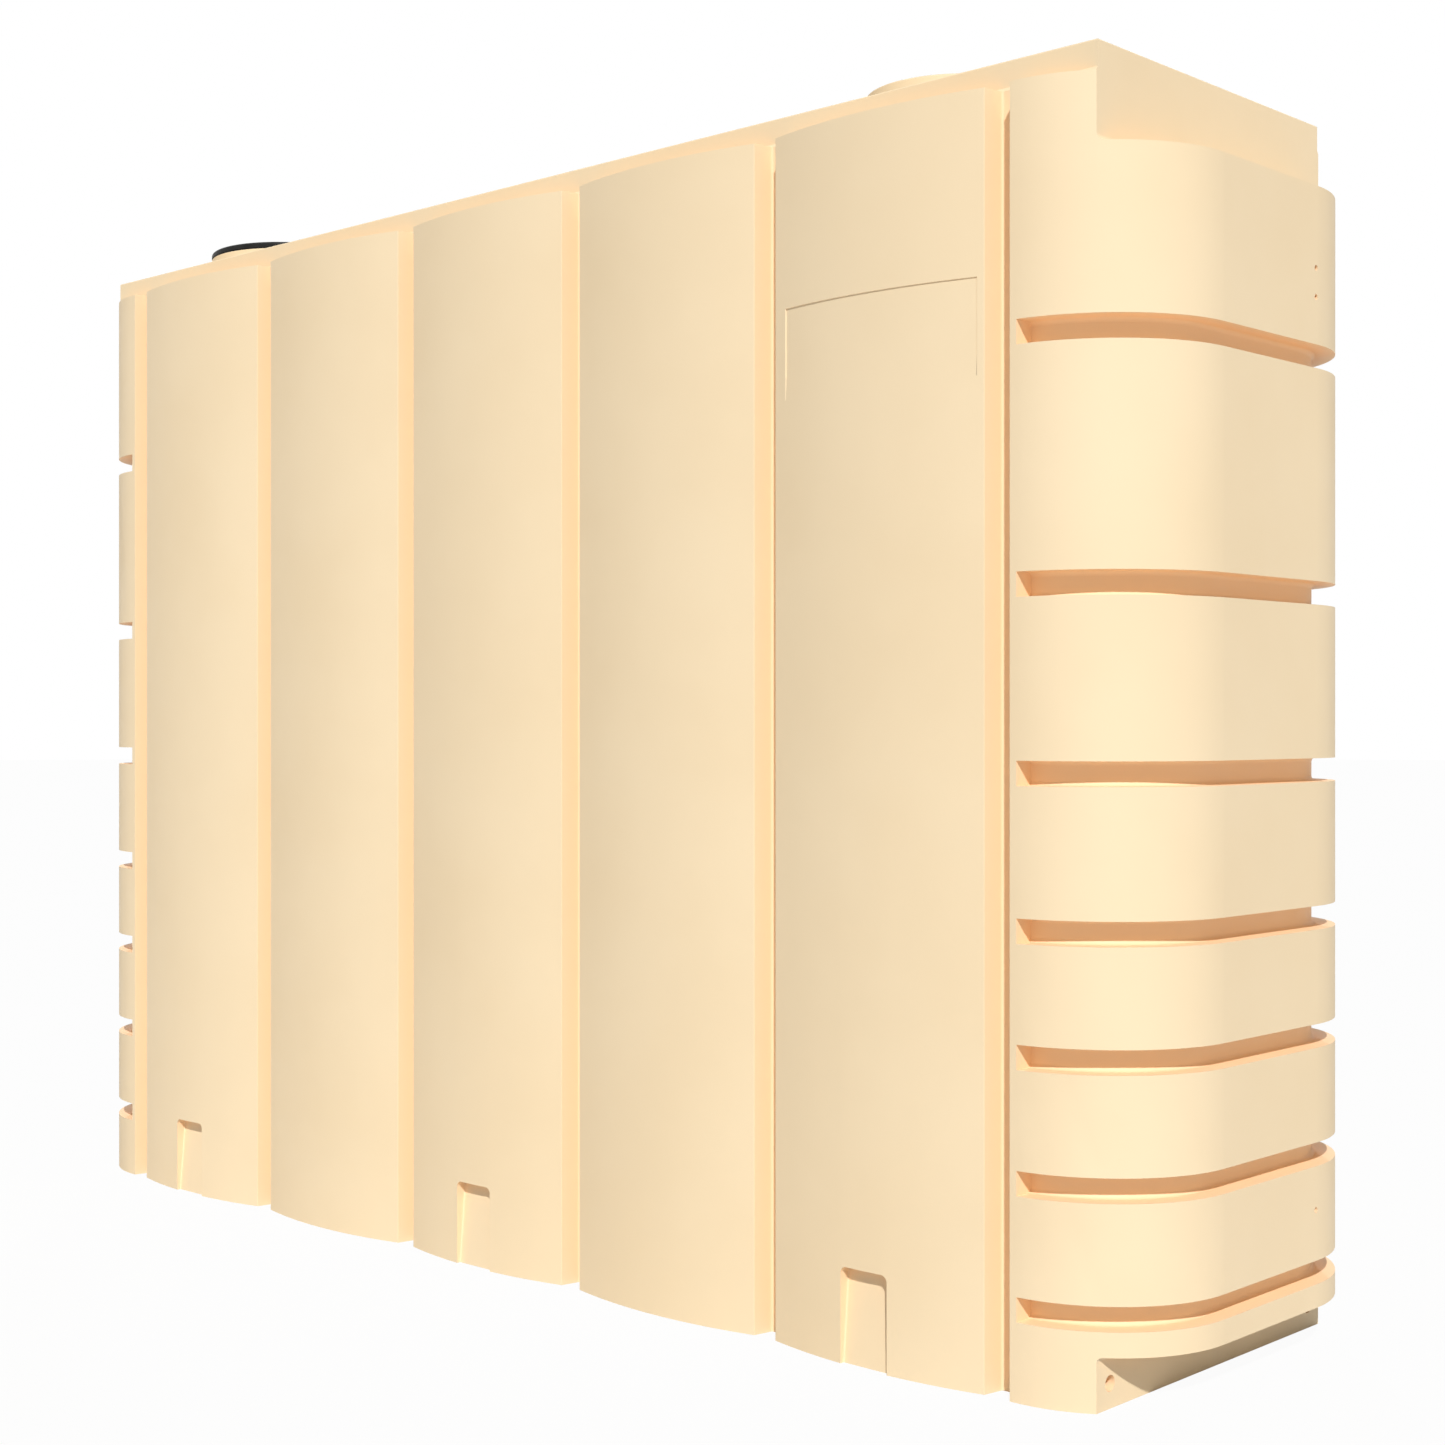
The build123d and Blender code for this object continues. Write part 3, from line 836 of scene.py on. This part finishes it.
class WATERTANK_OT_stage(bpy.types.Operator):
    """Set up the floor, the light and the camera"""

    bl_idname = "watertank.stage"
    bl_label = "Set Up Stage"

    def execute(self, context):
        settings = context.scene.watertank_stage
        scene = context.scene
        form = bmesh.new()
        bmesh.ops.create_circle(form, cap_ends=True, segments=96, radius=FLOOR_RADIUS)
        mesh = bpy.data.meshes.new("studio_floor")
        form.to_mesh(mesh)
        form.free()
        floor = bpy.data.objects.new("studio_floor", mesh)
        scene.collection.objects.link(floor)
        coat(floor, self.floor_paint(settings))
        self.world_light(scene, settings)
        self.far_lamp("key_light", settings.sun, settings.sun_azimuth, settings.sun_elevation)
        self.far_lamp("back_light", settings.back, settings.sun_azimuth + pi, BACK_ELEVATION)
        lens = bpy.data.cameras.new("camera")
        lens.lens = settings.lens
        lens.sensor_width = SENSOR_WIDTH
        lens.clip_end = SIGHT
        camera = bpy.data.objects.new("camera", lens)
        scene.collection.objects.link(camera)
        camera.location = settings.camera_place
        camera.rotation_euler = Euler((pi / 2 - settings.camera_dip, 0, settings.camera_turn))
        scene.camera = camera
        scene.view_settings.view_transform = "Standard"
        return {"FINISHED"}

    def far_lamp(self, name, strength, azimuth, elevation):
        """A lamp so far away that its light falls the same way everywhere."""
        lamp = bpy.data.lights.new(name, "SUN")
        lamp.energy = strength
        lamp.angle = LAMP_SIZE
        light = bpy.data.objects.new(name, lamp)
        bpy.context.scene.collection.objects.link(light)
        level = cos(elevation)
        towards = Vector((level * sin(azimuth), -level * cos(azimuth), sin(elevation)))
        light.location = towards * LAMP_DISTANCE
        light.rotation_euler = (-towards).to_track_quat("-Z", "Y").to_euler()

    def white_to_lens(self, tree, share):
        """A number that is share for what the camera, mirrors and glass see, else 0."""
        path = tree.nodes.new("ShaderNodeLightPath")
        seen = path.outputs["Is Camera Ray"]
        for kind in ("Is Glossy Ray", "Is Transmission Ray"):
            seen = calculated(tree, "MAXIMUM", seen, path.outputs[kind])
        return calculated(tree, "MULTIPLY", seen, share)

    def floor_paint(self, settings):
        """Matt floor that shows nearly white and keeps a faint shadow."""
        material = bpy.data.materials.new("studio_floor")
        material.use_nodes = True
        tree = material.node_tree
        tree.nodes.clear()
        out = tree.nodes.new("ShaderNodeOutputMaterial")
        paint = tree.nodes.new("ShaderNodeBsdfDiffuse")
        paint.inputs["Color"].default_value = (*settings.floor_colour, 1)
        white = tree.nodes.new("ShaderNodeEmission")
        white.inputs["Strength"].default_value = 1.0
        mix = tree.nodes.new("ShaderNodeMixShader")
        tree.links.new(self.white_to_lens(tree, FLOOR_WHITE), mix.inputs["Fac"])
        tree.links.new(paint.outputs["BSDF"], mix.inputs[1])
        tree.links.new(white.outputs["Emission"], mix.inputs[2])
        tree.links.new(mix.outputs["Shader"], out.inputs["Surface"])
        return material

    def world_light(self, scene, settings):
        """Soft white light from all round, which shows as plain white."""
        world = bpy.data.worlds.new("studio")
        world.use_nodes = True
        tree = world.node_tree
        tree.nodes.clear()
        out = tree.nodes.new("ShaderNodeOutputWorld")
        light = tree.nodes.new("ShaderNodeBackground")
        light.inputs["Strength"].default_value = settings.fill
        white = tree.nodes.new("ShaderNodeBackground")
        white.inputs["Color"].default_value = (1, 1, 1, 1)
        white.inputs["Strength"].default_value = 1.0
        light.inputs["Color"].default_value = (1, 1, 1, 1)
        mix = tree.nodes.new("ShaderNodeMixShader")
        tree.links.new(self.white_to_lens(tree, 1.0), mix.inputs["Fac"])
        tree.links.new(light.outputs["Background"], mix.inputs[1])
        tree.links.new(white.outputs["Background"], mix.inputs[2])
        tree.links.new(mix.outputs["Shader"], out.inputs["Surface"])
        scene.world = world


class WATERTANK_PT_pieces(bpy.types.Panel):
    """Lists the tank's pieces with their settings"""

    bl_idname = "WATERTANK_PT_pieces"
    bl_label = "Slimline Water Tank"
    bl_space_type = "VIEW_3D"
    bl_region_type = "UI"
    bl_category = "Water Tank"

    def draw(self, context):
        for settings, operator in (
            (context.scene.watertank_shell, WATERTANK_OT_shell),
            (context.scene.watertank_strainer, WATERTANK_OT_strainer),
            (context.scene.watertank_overflow, WATERTANK_OT_overflow),
            (context.scene.watertank_stage, WATERTANK_OT_stage),
        ):
            box = self.layout.box()
            for name in type(settings).__annotations__:
                box.prop(settings, name)
            box.operator(operator.bl_idname)


classes = (
    ShellSettings,
    StrainerSettings,
    OverflowSettings,
    StageSettings,
    WATERTANK_OT_shell,
    WATERTANK_OT_strainer,
    WATERTANK_OT_overflow,
    WATERTANK_OT_stage,
    WATERTANK_PT_pieces,
)


def register():
    for cls in classes:
        bpy.utils.register_class(cls)
    scene = bpy.types.Scene
    scene.watertank_shell = PointerProperty(type=ShellSettings)
    scene.watertank_strainer = PointerProperty(type=StrainerSettings)
    scene.watertank_overflow = PointerProperty(type=OverflowSettings)
    scene.watertank_stage = PointerProperty(type=StageSettings)


def unregister():
    scene = bpy.types.Scene
    del scene.watertank_shell
    del scene.watertank_strainer
    del scene.watertank_overflow
    del scene.watertank_stage
    for cls in reversed(classes):
        bpy.utils.unregister_class(cls)


def main():
    register()
    bpy.ops.watertank.shell()
    bpy.ops.watertank.strainer()
    bpy.ops.watertank.overflow()
    bpy.ops.watertank.stage()


if __name__ == "__main__":
    main()
